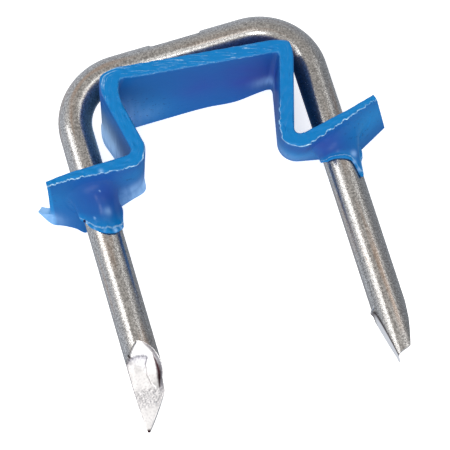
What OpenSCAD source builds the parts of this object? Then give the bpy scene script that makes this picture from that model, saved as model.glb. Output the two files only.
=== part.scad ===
// Insulated cable staple: a round wire staple with sheared points, and a folded plastic saddle strip
// that the legs pierce. It lies on its side, with the lower long edge of the strip on the ground.

/* [Wire staple] */
// Diameter of the round wire
wire_d = 2.32; // [1.6:0.02:3]
// Clear width between the two legs
crown_inside_w = 14.29; // [13.2:0.01:18]
// Inside radius of the two bends at the crown
bend_inner_r = 2.54; // [1.2:0.02:3]
// Right leg, from the outside of the crown to its point
leg_l = 27; // [24:0.1:34]
// How much shorter the left leg is
left_leg_short = 0.7; // [0:0.1:2]

/* [Crown flat] */
// Length of the pressed flat on the outside of the crown
flat_l = 3.5; // [1:0.1:6]
// Depth of the flat
flat_depth = 0.15; // [0.02:0.01:0.4]
// Turn of the flat about the crown, towards the upper side
flat_turn = 20; // [0:1:45]

/* [Sheared points] */
// Length of the sheared face on each leg; the left one looks up and the right one looks down
shear_l = 5.8; // [4:0.1:8]
// Angle between the left leg and the long flat stretch of its sheared face
left_bevel_angle = 8; // [2:0.5:12]
// Angle between the right leg and the long flat stretch of its sheared face
right_bevel_angle = 15; // [8:0.5:18]
// Turn of that stretch about the leg, towards the right
bevel_turn = 17; // [0:1:25]
// Angle between the leg and the steep stretch where the shear bit in
bite_angle = 40; // [30:1:60]
// Turn of that stretch about the leg, towards the left
bite_turn = 14; // [0:1:25]
// Length of the short second cut across the left leg's point
left_nip_l = 2.9; // [1:0.1:4]
// Length of the short second cut across the right leg's point
right_nip_l = 1.9; // [1:0.1:4]
// Thickness of metal left standing at the left point
left_point_t = 0.3; // [0.1:0.05:0.6]
// Thickness of metal left standing at the right point
right_point_t = 0.15; // [0.1:0.05:0.6]
// Distance of the left point from the leg's axis, to the left
left_point_out = 0.86; // [0.2:0.02:1]
// Distance of the right point from the leg's axis, to the left
right_point_out = 0.24; // [0.1:0.02:0.4]
// Length of the narrow flat down the left of the right point
facet_l = 4.1; // [2:0.1:6]
// Angle between the leg and the narrow flat
facet_angle = 7.5; // [4:0.5:9]
// Turn of the narrow flat about the leg, towards the upper side
facet_turn = 12; // [0:1:25]

/* [Saddle strip] */
// Width of the strip, along the cable
strip_w = 7; // [5:0.1:10]
// Thickness of the web and the walls
strip_t = 1; // [0.6:0.05:1.2]
// Thickness of the flanges at their outer ends
flange_end_t = 0.45; // [0.3:0.05:0.8]
// Thickness of the flanges at the kinks outside the legs
flange_kink_t = 0.55; // [0.4:0.05:1]
// Radius of the shoulder and foot folds, at the middle of the thickness
fold_r = 0.9; // [0.7:0.05:1.2]
// Length of strip that each soft kink takes up on either side of its corner
kink_l = 0.3; // [0.1:0.05:0.4]
// Distance of the kinks out from the leg axes
kink_out = 1.3; // [0.8:0.05:1.8]

/* [Left fold, upper edge] */
// Shoulder fold, in from the leg's axis
left_upper_shoulder_in = 2.6; // [2.2:0.05:4]
// Shoulder fold, below the underside of the crown
left_upper_shoulder_drop = 0.3; // [0.2:0.05:2]
// Foot fold, in from the leg's axis
left_upper_foot_in = 3.9; // [3:0.05:5]
// Foot fold, below the shoulder fold
left_upper_wall_h = 6.55; // [5:0.05:8]
// Kink, below the foot fold
left_upper_dip = -0.25; // [-1:0.05:2]
// Flange end, out from the leg's axis
left_upper_reach = 2.7; // [2.4:0.05:4.5]
// Flange end, above the kink
left_upper_rise = -0.1; // [-0.5:0.05:1.5]

/* [Left fold, lower edge] */
// Shoulder fold, in from the leg's axis
left_lower_shoulder_in = 1.8; // [1.6:0.05:4]
// Shoulder fold, below the underside of the crown
left_lower_shoulder_drop = 1.3; // [1:0.05:2]
// Foot fold, in from the leg's axis
left_lower_foot_in = 3.3; // [2.8:0.05:5]
// Foot fold, below the shoulder fold
left_lower_wall_h = 5.4; // [4:0.05:7]
// Kink, below the foot fold
left_lower_dip = 1.1; // [-1:0.05:2]
// Flange end, out from the leg's axis
left_lower_reach = 3.1; // [2.4:0.05:4.5]
// Flange end, above the kink
left_lower_rise = 1.05; // [-0.5:0.05:1.5]

/* [Right fold, upper edge] */
// Shoulder fold, in from the leg's axis
right_upper_shoulder_in = 1.35; // [1.3:0.05:4]
// Shoulder fold, below the underside of the crown
right_upper_shoulder_drop = 1.8; // [1.6:0.05:3]
// Foot fold, in from the leg's axis
right_upper_foot_in = 3.5; // [3:0.05:5]
// Foot fold, below the shoulder fold
right_upper_wall_h = 7.4; // [6:0.05:8]
// Kink, below the foot fold
right_upper_dip = -1.35; // [-2:0.05:1]
// Flange end, out from the leg's axis
right_upper_reach = 3.2; // [2.4:0.05:4.5]
// Flange end, above the kink
right_upper_rise = 0.55; // [-0.5:0.05:1.5]

/* [Right fold, lower edge] */
// Shoulder fold, in from the leg's axis
right_lower_shoulder_in = 2.05; // [1.9:0.05:4]
// Shoulder fold, below the underside of the crown
right_lower_shoulder_drop = 1.3; // [1.1:0.05:2]
// Foot fold, in from the leg's axis
right_lower_foot_in = 3.2; // [2.8:0.05:5]
// Foot fold, below the shoulder fold
right_lower_wall_h = 5.55; // [4:0.05:7]
// Kink, below the foot fold
right_lower_dip = 1.3; // [-1:0.05:2]
// Flange end, out from the leg's axis
right_lower_reach = 3.85; // [2.4:0.05:4.5]
// Flange end, above the kink
right_lower_rise = 1.35; // [-0.5:0.05:1.5]

/* [Curled corner] */
// Length of the torn tab at the left flange's lower corner
tab_l = 1.25; // [0.2:0.05:2]
// Angle that the tab curls up by
tab_turn = 25; // [0:1:60]
// How far the tab's root reaches in from the lower edge
tab_w = 2.6; // [1:0.1:4]
// Straight end of the left flange beyond the tab's root
tab_root = 0.15; // [0.1:0.05:0.4]

/* [Leg collars] */
// Clearance of each pierced hole around its leg
grip_clear = 0.02; // [0.01:0.01:0.1]
// Wall of the dragged collar at its rim
collar_rim_t = 0.18; // [0.1:0.02:0.5]
// Reach of the collar's root along the flange, from the leg's axis
root_reach = 1.8; // [1.5:0.05:2.2]
// Reach of the collar's root towards the strip's upper edge, from the leg's axis
root_upper_reach = 2.8; // [1.6:0.05:3]
// Reach of the collar's root towards the strip's lower edge, from the leg's axis
root_lower_reach = 1.7; // [1.5:0.05:3]
// Depth of the left collar on its axis, below the middle of the flange
left_collar_h = 1.9; // [1:0.1:4]
// Rise of the left collar's rim from the inside to the outside of the leg, as an angle
left_rim_slant = 8; // [-50:1:50]
// Fall of the left collar's rim towards the upper edge, as an angle
left_rim_fall = 42; // [-50:1:50]
// Depth of the right collar on its axis, below the middle of the flange
right_collar_h = 2.3; // [1:0.1:4]
// Rise of the right collar's rim from the inside to the outside of the leg, as an angle
right_rim_slant = -30; // [-50:1:50]
// Fall of the right collar's rim towards the upper edge, as an angle
right_rim_fall = -12; // [-50:1:50]

/* [Hidden] */
$fn = 64;
// Number of straight facets in each fold, and of strips across the saddle's width
fold_steps = 6;
width_steps = 10;
// Number of slices down the flared outside of a collar, their thickness, and how sharply it flares
flare_steps = 8;
slice_t = 0.1;
flare_power = 1.6;
// Length of a cutting block, longer than any part of the staple
cut_l = 2 * leg_l;
wire_r = wire_d / 2;
bend_r = bend_inner_r + wire_r;
leg_x = crown_inside_w / 2 + wire_r;
hole_r = wire_r + grip_clear;
rim_r = hole_r + collar_rim_t;

function unit(v) = v / norm(v);
function mix(a, b, share) = a + (b - a) * share;
function quarter_turn(v) = [-v[1], v[0]];
function turned(v, angle) = [v[0] * cos(angle) - v[1] * sin(angle), v[0] * sin(angle) + v[1] * cos(angle)];

// Arc of radius r that rounds the corner at b, on the way from a to c
function fold(a, b, c, r) =
    let (into = unit(b - a), away = unit(c - b))
    let (turn = atan2(cross(into, away), into * away))
    let (start = b - into * r * tan(abs(turn) / 2))
    let (centre = start + quarter_turn(into) * r * sign(turn))
    [for (i = [0 : fold_steps]) centre + turned(start - centre, turn * i / fold_steps)];

// Parabola that softens the corner at b, starting and ending l away from it
function soft_corner(a, b, c, l) =
    let (start = b + unit(a - b) * l, end = b + unit(c - b) * l)
    [for (i = [0 : fold_steps])
        let (s = i / fold_steps)
        mix(mix(start, b, s), mix(b, end, s), s)];

// Corners of one side of the saddle at one edge, from the shoulder out to the flange's end.
// side is -1 for the left and 1 for the right; the crown's axis is the X axis.
function corners(side, shoulder_in, drop, foot_in, wall_h, dip, reach, rise) =
    let (shoulder_y = -wire_r - drop)
    let (foot_y = shoulder_y - wall_h)
    [
        [side * (leg_x - shoulder_in), shoulder_y],
        [side * (leg_x - foot_in), foot_y],
        [side * (leg_x + kink_out), foot_y - dip],
        [side * (leg_x + reach), foot_y - dip + rise]
    ];

left_upper = corners(-1, left_upper_shoulder_in, left_upper_shoulder_drop, left_upper_foot_in,
    left_upper_wall_h, left_upper_dip, left_upper_reach, left_upper_rise);
left_lower = corners(-1, left_lower_shoulder_in, left_lower_shoulder_drop, left_lower_foot_in,
    left_lower_wall_h, left_lower_dip, left_lower_reach, left_lower_rise);
right_upper = corners(1, right_upper_shoulder_in, right_upper_shoulder_drop, right_upper_foot_in,
    right_upper_wall_h, right_upper_dip, right_upper_reach, right_upper_rise);
right_lower = corners(1, right_lower_shoulder_in, right_lower_shoulder_drop, right_lower_foot_in,
    right_lower_wall_h, right_lower_dip, right_lower_reach, right_lower_rise);

// Middle line of the strip, from the left flange's end over the web to the right flange's end,
// at a share of the width: 0 at the lower edge and 1 at the upper edge
function middle_line(share) =
    let (l = mix(left_lower, left_upper, share), r = mix(right_lower, right_upper, share))
    let (torn = max(0, 1 - share * strip_w / tab_w), out = unit(l[3] - l[2]))
    let (tip = l[3] + turned(out, -tab_turn * torn) * (tab_root + tab_l * torn))
    concat(
        [tip],
        soft_corner(tip, l[3], l[2], tab_root / 2),
        soft_corner(l[3], l[2], l[1], kink_l),
        fold(l[2], l[1], l[0], fold_r),
        fold(l[1], l[0], r[0], fold_r),
        fold(l[0], r[0], r[1], fold_r),
        fold(r[0], r[1], r[2], fold_r),
        soft_corner(r[1], r[2], r[3], kink_l),
        [r[3]]
    );

// Thickness at each point of the middle line: full over the walls and the web, thinning to the flange ends
function along_fold(t) = [for (i = [0 : fold_steps]) t];
thicknesses = concat(
    [flange_end_t], along_fold(flange_end_t), along_fold(flange_kink_t),
    along_fold(strip_t), along_fold(strip_t), along_fold(strip_t), along_fold(strip_t),
    along_fold(flange_kink_t), [flange_end_t]
);

// Closed section of the strip at a share of the width: out along the crown's side and back along the cable's
function section(share) =
    let (line = middle_line(share), last = len(line) - 1)
    let (half = [for (i = [0 : last])
        quarter_turn(unit(line[min(last, i + 1)] - line[max(0, i - 1)])) * thicknesses[i] / 2])
    concat(
        [for (i = [0 : last]) line[i] + half[i]],
        [for (i = [last : -1 : 0]) line[i] - half[i]]
    );

// Points of the whole strip, section after section across its width, with the wire's plane at z = 0
strip_points = [for (k = [0 : width_steps]) for (p = section(k / width_steps))
    [p[0], p[1], (k / width_steps - 0.5) * strip_w]];
section_n = 2 * len(thicknesses);
top_start = width_steps * section_n;

// Triangles between neighbouring sections, then the two long cut edges of the strip
strip_faces = concat(
    [for (k = [0 : width_steps - 1]) for (j = [0 : section_n - 1])
        let (a = k * section_n + j, b = k * section_n + (j + 1) % section_n)
        each [[a, b, b + section_n], [a, b + section_n, a + section_n]]],
    [for (i = [0 : len(thicknesses) - 2])
        let (c = section_n - 1 - i)
        each [[i, c, i + 1], [i + 1, c, c - 1]]],
    [for (i = [0 : len(thicknesses) - 2])
        let (a = top_start + i, c = top_start + section_n - 1 - i)
        each [[a, a + 1, c], [a + 1, c - 1, c]]]
);

// Height of the flange's middle where its leg passes, halfway across the width
function flange_y(upper, lower) =
    let (middle = mix(lower, upper, 0.5))
    let (foot = middle[1], kink = middle[2])
    mix(foot[1], kink[1], (leg_x - abs(foot[0])) / (abs(kink[0]) - abs(foot[0])));

left_flange_y = flange_y(left_upper, left_lower);
right_flange_y = flange_y(right_upper, right_lower);

// The part's own frame: the middle of its outline at the origin, and the strip's lower edge on the ground
strip_x = [for (p = strip_points) p[0]];
centre_x = (min(strip_x) + max(strip_x)) / 2;
centre_y = wire_r - leg_l / 2;

module in_own_frame() {
    translate([-centre_x, -centre_y, strip_w / 2]) children();
}

// Everything above a plane that rises by angle along +Y, through the height z at y = 0
module above_plane(z, angle) {
    translate([0, 0, z])
        rotate([angle, 0, 0])
            translate([-cut_l / 2, -cut_l / 2, 0])
                cube(cut_l);
}

// Straight wire down one leg, from the bend to its point. Two shear cuts make the point: a face on the
// upper or under side, steep where it starts and then long and flat, and a nip across the right-hand side.
module leg(side, length, facing, bevel_angle, nip_l, point_t, point_out) {
    turn_right = facing == 0 ? 1 : -1;
    translate([side * leg_x, wire_r - length, 0])
        difference() {
            rotate([-90, 0, 0])
                cylinder(r = wire_r, h = length - wire_r - bend_r);
            rotate([0, facing, 0])
                intersection() {
                    rotate([0, turn_right * bevel_turn, 0])
                        above_plane(point_t - wire_r, bevel_angle);
                    translate([0, shear_l, 0])
                        rotate([0, -turn_right * bite_turn, 0])
                            above_plane(wire_r, bite_angle);
                }
            translate([-point_out, 0, 0])
                rotate([0, 0, atan2(nip_l, wire_r + point_out)])
                    translate([-cut_l / 2, -cut_l, -cut_l / 2])
                        cube(cut_l);
        }
}

module left_leg() {
    leg(-1, leg_l - left_leg_short, 0, left_bevel_angle, left_nip_l, left_point_t, left_point_out);
}

// The right leg, with a narrow flat down the left of its point
module right_leg() {
    difference() {
        leg(1, leg_l, 180, right_bevel_angle, right_nip_l, right_point_t, right_point_out);
        translate([leg_x, wire_r - leg_l, 0])
            rotate([0, facet_turn, 0])
                translate([-wire_r, facet_l, 0])
                    rotate([0, 0, facet_angle])
                        translate([-cut_l, -cut_l / 2, -cut_l / 2])
                            cube(cut_l);
    }
}

// Quarter bend between the crown and one leg
module bend(side) {
    translate([side * (leg_x - bend_r), -bend_r, 0])
        rotate([0, 0, side > 0 ? 0 : 90])
            rotate_extrude(angle = 90)
                translate([bend_r, 0])
                    circle(r = wire_r);
}

module wire_staple() {
    color([0.52, 0.5, 0.48])
        in_own_frame()
            difference() {
                union() {
                    translate([bend_r - leg_x, 0, 0])
                        rotate([0, 90, 0])
                            cylinder(r = wire_r, h = 2 * (leg_x - bend_r));
                    bend(-1);
                    bend(1);
                    left_leg();
                    right_leg();
                }
                rotate([flat_turn, 0, 0])
                    translate([-flat_l / 2, wire_r - flat_depth, -wire_d])
                        cube([flat_l, wire_d, 2 * wire_d]);
            }
}

// One thin slice of a collar's outside: an ellipse at the flange that becomes the round rim at the end
module collar_slice(share, h) {
    root_z = (root_upper_reach + root_lower_reach) / 2;
    root_shift = (root_upper_reach - root_lower_reach) / 2;
    translate([0, -h * pow(share, flare_power), root_shift * (1 - share)])
        rotate([90, 0, 0])
            scale([mix(root_reach, rim_r, share), mix(root_z, rim_r, share), 1])
                cylinder(r = 1, h = slice_t);
}

// Plastic that the leg dragged out of the flange: a flared sleeve cut off at a slanting rim.
// slant raises the rim towards the outside of the leg, and fall lowers it towards the upper edge.
module collar(side, top_y, h, slant, fall) {
    full_h = h + rim_r * (abs(tan(slant)) + abs(tan(fall)));
    translate([side * leg_x, top_y, 0])
        difference() {
            for (i = [0 : flare_steps - 1])
                hull() {
                    collar_slice(i / flare_steps, full_h);
                    collar_slice((i + 1) / flare_steps, full_h);
                }
            translate([0, -h, 0])
                rotate([fall, 0, side * slant])
                    translate([-cut_l / 2, -cut_l, -cut_l / 2])
                        cube(cut_l);
        }
}

// Hole that the leg pierced through the flange and its collar
module pierced_hole(side, top_y) {
    translate([side * leg_x, top_y + 2 * strip_t, 0])
        rotate([90, 0, 0])
            cylinder(r = hole_r, h = cut_l);
}

module insulating_saddle() {
    color([0.11, 0.45, 0.76])
        in_own_frame()
            difference() {
                union() {
                    polyhedron(points = strip_points, faces = strip_faces, convexity = 6);
                    collar(-1, left_flange_y, left_collar_h, left_rim_slant, left_rim_fall);
                    collar(1, right_flange_y, right_collar_h, right_rim_slant, right_rim_fall);
                }
                pierced_hole(-1, left_flange_y);
                pierced_hole(1, right_flange_y);
            }
}

wire_staple();
insulating_saddle();
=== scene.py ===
"""Insulated cable staple: a round steel wire staple with sheared points, and the folded blue plastic
saddle that its legs pierce. It lies on its side on a white sheet of paper.

Shapes are worked out in millimetres in the crown frame: the middle of the crown's axis at the origin,
X along the crown to the right, Y from the points towards the crown, Z up across the strip's width."""
import math
from collections import namedtuple

import bmesh
import bpy
import numpy as np
from mathutils import Matrix, Vector


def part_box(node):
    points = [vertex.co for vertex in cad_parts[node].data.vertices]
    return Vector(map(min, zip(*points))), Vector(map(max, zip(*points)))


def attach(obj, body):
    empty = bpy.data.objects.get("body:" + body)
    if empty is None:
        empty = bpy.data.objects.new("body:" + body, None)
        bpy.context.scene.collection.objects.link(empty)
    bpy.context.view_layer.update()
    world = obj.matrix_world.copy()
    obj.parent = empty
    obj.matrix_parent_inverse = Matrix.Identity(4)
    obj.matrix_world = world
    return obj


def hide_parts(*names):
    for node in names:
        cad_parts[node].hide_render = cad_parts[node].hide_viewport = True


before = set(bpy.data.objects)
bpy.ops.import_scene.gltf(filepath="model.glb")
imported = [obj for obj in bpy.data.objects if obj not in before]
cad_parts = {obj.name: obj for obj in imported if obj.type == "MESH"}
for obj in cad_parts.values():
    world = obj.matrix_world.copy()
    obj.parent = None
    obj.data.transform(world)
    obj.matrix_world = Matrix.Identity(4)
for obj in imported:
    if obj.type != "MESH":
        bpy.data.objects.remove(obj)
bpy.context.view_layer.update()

MM = 0.001

# Sizes and places that the frame gives
staple_low, staple_high = (np.array(corner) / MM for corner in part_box("wire_staple"))
saddle_low, saddle_high = (np.array(corner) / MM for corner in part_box("insulating_saddle"))
WIRE_D = staple_high[2] - staple_low[2]
WIRE_R = WIRE_D / 2
LEG_X = (staple_high[0] - staple_low[0] - WIRE_D) / 2
RIGHT_LEG_L = staple_high[1] - staple_low[1]
STRIP_W = saddle_high[2] - saddle_low[2]
CROWN = np.array([(staple_low[0] + staple_high[0]) / 2, staple_high[1] - WIRE_R,
                  (saddle_low[2] + saddle_high[2]) / 2])

# Wire staple: its bends, the flat pressed into the crown, and the cuts that make the points
BEND_R = 3.7
FLAT_L = 3.5
FLAT_DEPTH = 0.15
FLAT_RUN_OUT = 0.12
FLAT_TURN = math.radians(20)
LEFT_LEG_SHORT = 0.7
SHEAR_L = 5.8
SHEAR_RUN_OUT = 3.5
BEVEL_TURN = math.radians(17)
BITE_ANGLE = math.radians(40)
BITE_TURN = math.radians(14)
FACE_SOFT = 0.25
Point = namedtuple("Point", "length bevel thick nip_d nip_across")
LEFT_POINT = Point(RIGHT_LEG_L - LEFT_LEG_SHORT, math.radians(8), 0.3, (0, 2.9), (-0.86, WIRE_R))
RIGHT_POINT = Point(RIGHT_LEG_L, math.radians(15), 0.15,
                    (0, 0.45, 0.58, 0.68, 0.76, 0.82, 0.88, 1.3, 2.0, 2.8, 4.3),
                    (-0.58, -0.45, -0.3, -0.05, 0.2, 0.42, 0.5, 0.62, 0.8, 0.98, WIRE_R))
FACET_L = 4.1
FACET_ANGLE = math.radians(7.5)
FACET_TURN = math.radians(12)
FACET_RIM = 0.06
FACET_BURR = 0.17

# Lines on the left point's sheared face, each as distances above the point and places across it: the left
# side of the bite, the ledge's side and the edge of the right flank
BITE_LEFT = ((4.6, 4.72, 4.99, 5.26, 5.49, 5.69), (-1.3, -1.12, -0.83, -0.59, -0.37, -0.09))
LEDGE_SIDE = ((2.8, 3.1, 3.74, 4.34, 4.66), (0.3, 0.08, -0.03, 0.06, 0.31))
FLANK_EDGE = ((2.1, 2.86, 3.6, 4.31, 4.82, 5.57), (0.27, 0.55, 0.63, 0.72, 0.72, 0.3))
LIP_H = 0.1
CRUMPLE_H = 0.01
FACE_WAVE_H = 0.006

# Saddle strip: where each fold lies on the left (-1) and right (1), at the strip's lower and upper edge
Fold = namedtuple("Fold", "shoulder_in drop foot_in wall_h dip reach rise")
FOLDS = {
    -1: (Fold(1.8, 1.3, 3.3, 4.7, 1.8, 3.1, 1.05), Fold(2.6, 0.3, 3.9, 6.55, -0.25, 2.7, -0.1)),
    1: (Fold(2.05, 1.3, 3.2, 5.55, 1.3, 3.85, 1.35), Fold(1.35, 1.8, 3.5, 7.4, -1.35, 3.2, 0.55)),
}
STRIP_T = 1.0
FLANGE_END_T = 0.45
FLANGE_KINK_T = 0.55
FOLD_R = 0.9
KINK_L = 0.3
KINK_OUT = 1.3
EDGE_R = 0.14
BURR_H = 0.12
BURR_W = 0.17
EDGE_HOLLOW = 0.06
TAB_L = 1.25
TAB_TURN = math.radians(25)
TAB_W = 1.9
TAB_ROOT = 0.15

# Ears: towards the strip's edges the shoulders' outsides are filled out by a share of the full mitre
EAR_SHARE = {-1: 0.3, 1: 0.5}
EAR_SOFT = 0.06
EAR_Z = (1.5, 2.7)

# Where the folded strip is pulled out of shape, and how far: the left foot's lower corner, a sag at the
# right of the web, a flap under the left flange, the blunt torn tab and the filled left shoulder
Pull = namedtuple("Pull", "x y z reach dx dy")
PULLS = [Pull(-4.75, -7.7, -3.5, 0.6, 0.24, -0.2), Pull(2.9, -3.2, -3.5, 1.5, 0, -0.22),
         Pull(-9.6, -9.1, -3.5, 0.4, 0, -0.28), Pull(-11.85, -7.6, -3.5, 0.8, 0.05, -0.32),
         Pull(-4.87, -2.12, 3.5, 0.9, 0.45, 0.03)]

# Collars that the legs dragged out of the flanges. A rim gives its own height at angles round the leg, in
# degrees from X towards Z. Lumps swell the rim, nubs swell the flare above it, and gaps widen the hole.
GRIP_CLEAR = 0.02
COLLAR_RIM_T = 0.16
MOUTH_DIP = 0.12
ROOT_IN = 1.8
ROOT_UPPER = 2.8
ROOT_LOWER = 1.7
FLARE_POWER = 1.7
NUB_L = 0.16
WINDOW_Z = (-1.85, 3.0)
WINDOW_PAD = 0.1
Collar = namedtuple("Collar", "root_out rim lumps nubs gaps")
Lump = namedtuple("Lump", "at spread swell depth", defaults=[0])
COLLARS = {
    -1: Collar(2.1, {0: -10.6, 13: -11.1, 30: -11.42, 45: -11.6, 58: -11.72, 77: -11.71, 91: -11.59,
                     104: -11.41, 117: -11.13, 128: -10.86, 139: -10.4, 160: -9.8, 200: -9.6, 260: -9.9,
                     320: -10.2},
               [Lump(128, 9, 0.13), Lump(103, 8, 0.11), Lump(80, 9, 0.13), Lump(55, 8, 0.11),
                Lump(30, 10, 0.13)],
               [Lump(2, 14, 0.2, 0.8), Lump(70, 30, 0.12, 0.62)], [Lump(152, 14, 0.2)]),
    1: Collar(2.7, {0: -11.1, 19: -11.61, 30: -12.2, 38: -12.72, 45: -12.69, 48: -12.4, 51: -12.1, 56: -11.72,
                    62: -11.48, 70: -11.36, 81: -11.26, 95: -11.16, 109: -11.07, 124: -11.01, 137: -11.0,
                    180: -10.6, 240: -10.2, 300: -10.4},
              [Lump(38, 10, 0.06), Lump(95, 30, 0.06)], [Lump(3, 9, 0.2, 0.9)], []),
}

# Where colour is painted on the plastic: violet painted shade, a lighter blue as painted light, white where
# it was whitened by bending along with painted highlights and sheen, and painted shade in the torn hole
Mark = namedtuple("Mark", "x y z reach share")
MARKS = {
    # Painted violet shade: on the web, by both legs and at the left shoulder
    "drawn": [(4.6, -2.9, 0.3, 3.0, 1.0), (1.0, -2.7, 0.3, 2.6, 0.6), (-7.4, -8.6, 1.6, 1.9, 0.8),
              (7.6, -10.0, 1.3, 1.9, 1.0), (-6.0, -2.2, 2.5, 1.0, 0.6)],
    # Painted light: a lighter blue where the skin is lit, on the flanges, the right foot, the web's left and
    # the tab
    "light": [(11.0, -9.2, 0.5, 2.4, 1.0), (5.6, -9.3, -0.5, 1.8, 0.8), (-3.5, -2.6, -1.5, 2.4, 0.8),
              (-11.5, -8.0, 1.0, 1.6, 0.6), (-5.5, -8.2, 1.5, 1.4, 0.6)],
    # Whitened by bending at the folds and the tab, and painted highlights, glints and sheen on the collars, the
    # web, the left wall and the left foot
    "whitening_and_highlight": [(-5.1, -7.7, -2.9, 1.6, 0.8), (-5.5, -8.1, -1.4, 1.2, 0.45), (-6.4, -3.8, -1.5, 2.0, 1.4),
                 (5.2, -3.4, -1.6, 0.8, 0.5), (-11.9, -7.7, -2.6, 1.1, 0.75), (5.0, -8.6, -1.9, 1.6, 0.25),
                 (-3.6, -2.7, -1.8, 1.2, 0.2), (-7.43, -8.05, 3.4, 0.13, 0.8),
                 (-7.73, -10.19, 1.49, 0.28, 0.35), (-8.73, -10.36, 1.37, 0.07, 0.8),
                 (-7.89, -8.84, 1.99, 0.05, 0.8), (-9.31, -10.42, 1.04, 0.1, 0.9),
                 (-8.92, -11.05, 1.25, 0.08, 0.5), (-8.32, -11.43, 1.4, 0.08, 0.5),
                 (-7.58, -11.55, 1.25, 0.14, 0.9), (-7.17, -11.37, 0.9, 0.11, 0.9),
                 (9.2, -11.05, 1.15, 0.18, 0.85), (9.08, -11.6, 1.1, 0.12, 0.9),
                 (9.22, -12.2, 0.98, 0.12, 0.9)],
    # Painted shade in the torn hole beside the left collar
    "hole": [(-9.45, -10.22, 0.94, 0.15, 1.0), (-9.5, -10.45, 0.8, 0.15, 1.0)],
}

# Grid of the wire: points round it, in its sheared face and its nip, the first one of its round underside,
# and rows along a point, a leg, a bend and half the crown
RING_N = 160
FACE_N = 64
NIP_N = 8
EVEN_START = 5
POINT_STEP = 0.042
LEG_ROWS = 44
BEND_ROWS = 26
CROWN_ROWS = 43

# Grid of the strip: rows across its width, round a corner and over an edge, and stations along each stretch
FLAT_ROWS = 64
CORNER_ROWS = 5
EDGE_ROWS = 6
END_N = 18
WINDOW_N = 36
FOOT_N = 6
FOLD_N = 20
WALL_N = 50
WEB_N = 90

# Grid of a collar: points along each stretch of a row
UNDER_N = 8
FLARE_N = 44
CURL_N = 9
BORE_N = 5
CROWN_SIDE_N = 14


def waves(points, wavelength, seed, count=28):
    """Smooth random relief of about unit height: the sum of count plane waves that run in random
    directions, each with a length near wavelength and a random phase."""
    draw = np.random.default_rng(seed)
    heading = draw.normal(size=(count, points.shape[-1]))
    heading /= np.linalg.norm(heading, axis=1)[:, None]
    rate = 2 * np.pi / (wavelength * draw.uniform(0.7, 1.4, count))
    phase = draw.uniform(0, 2 * np.pi, count)
    return np.sin(points @ (heading * rate[:, None]).T + phase).sum(-1) * math.sqrt(2 / count)


def ease(x):
    """Smooth step from 0 at x = 0 to 1 at x = 1, level at both ends."""
    x = np.clip(x, 0, 1)
    return x * x * (3 - 2 * x)


def band(x, low, rise, high, fall):
    """0 below low and above high, and 1 between them after a smooth rise and before a smooth fall."""
    return ease((x - low) / rise) * ease((high - x) / fall)


def bell(x, width):
    """Bell curve that is 1 at x = 0 and has fallen to 1 / e at width."""
    return np.exp(-(x / width) ** 2)


def bell_about(points, spot):
    """Bell curve about the place of a pull or a mark, as wide as its reach."""
    return np.exp(-((points - spot[:3]) ** 2).sum(-1) / spot.reach ** 2)


def grid_faces(rows, columns):
    """Quads of a grid whose points are counted row by row, with its last column joined to its first."""
    i, j = np.meshgrid(np.arange(rows - 1), np.arange(columns), indexing="ij")
    k = (j + 1) % columns
    return np.stack([i * columns + j, i * columns + k, (i + 1) * columns + k, (i + 1) * columns + j], -1)


def mesh_piece(name, points, faces, face_material, attributes, materials, sharp_angle):
    """One closed piece from points in the crown frame in millimetres: meeting points are merged, faces
    are turned outwards, and edges sharper than sharp_angle stay crisp. A -1 in a face stands for no point."""
    merge_l = 0.0005
    mesh = bpy.data.meshes.new(name)
    mesh.from_pydata(((points + CROWN) * MM).tolist(), [], [[v for v in f if v >= 0] for f in faces.tolist()])
    for label, values in attributes.items():
        kind, key = ("FLOAT", "value") if values.ndim == 1 else ("FLOAT_VECTOR", "vector")
        mesh.attributes.new(label, kind, "POINT").data.foreach_set(key, values.astype(np.float32).ravel())
    for material in materials:
        mesh.materials.append(material)
    mesh.polygons.foreach_set("material_index", face_material.astype(np.int32))
    shape = bmesh.new()
    shape.from_mesh(mesh)
    bmesh.ops.remove_doubles(shape, verts=shape.verts, dist=merge_l * MM)
    bmesh.ops.recalc_face_normals(shape, faces=shape.faces)
    shape.to_mesh(mesh)
    shape.free()
    mesh.shade_smooth()
    mesh.set_sharp_from_angle(angle=sharp_angle)
    piece = bpy.data.objects.new(name, mesh)
    bpy.context.scene.collection.objects.link(piece)
    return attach(piece, "root")


# Wire staple


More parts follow.
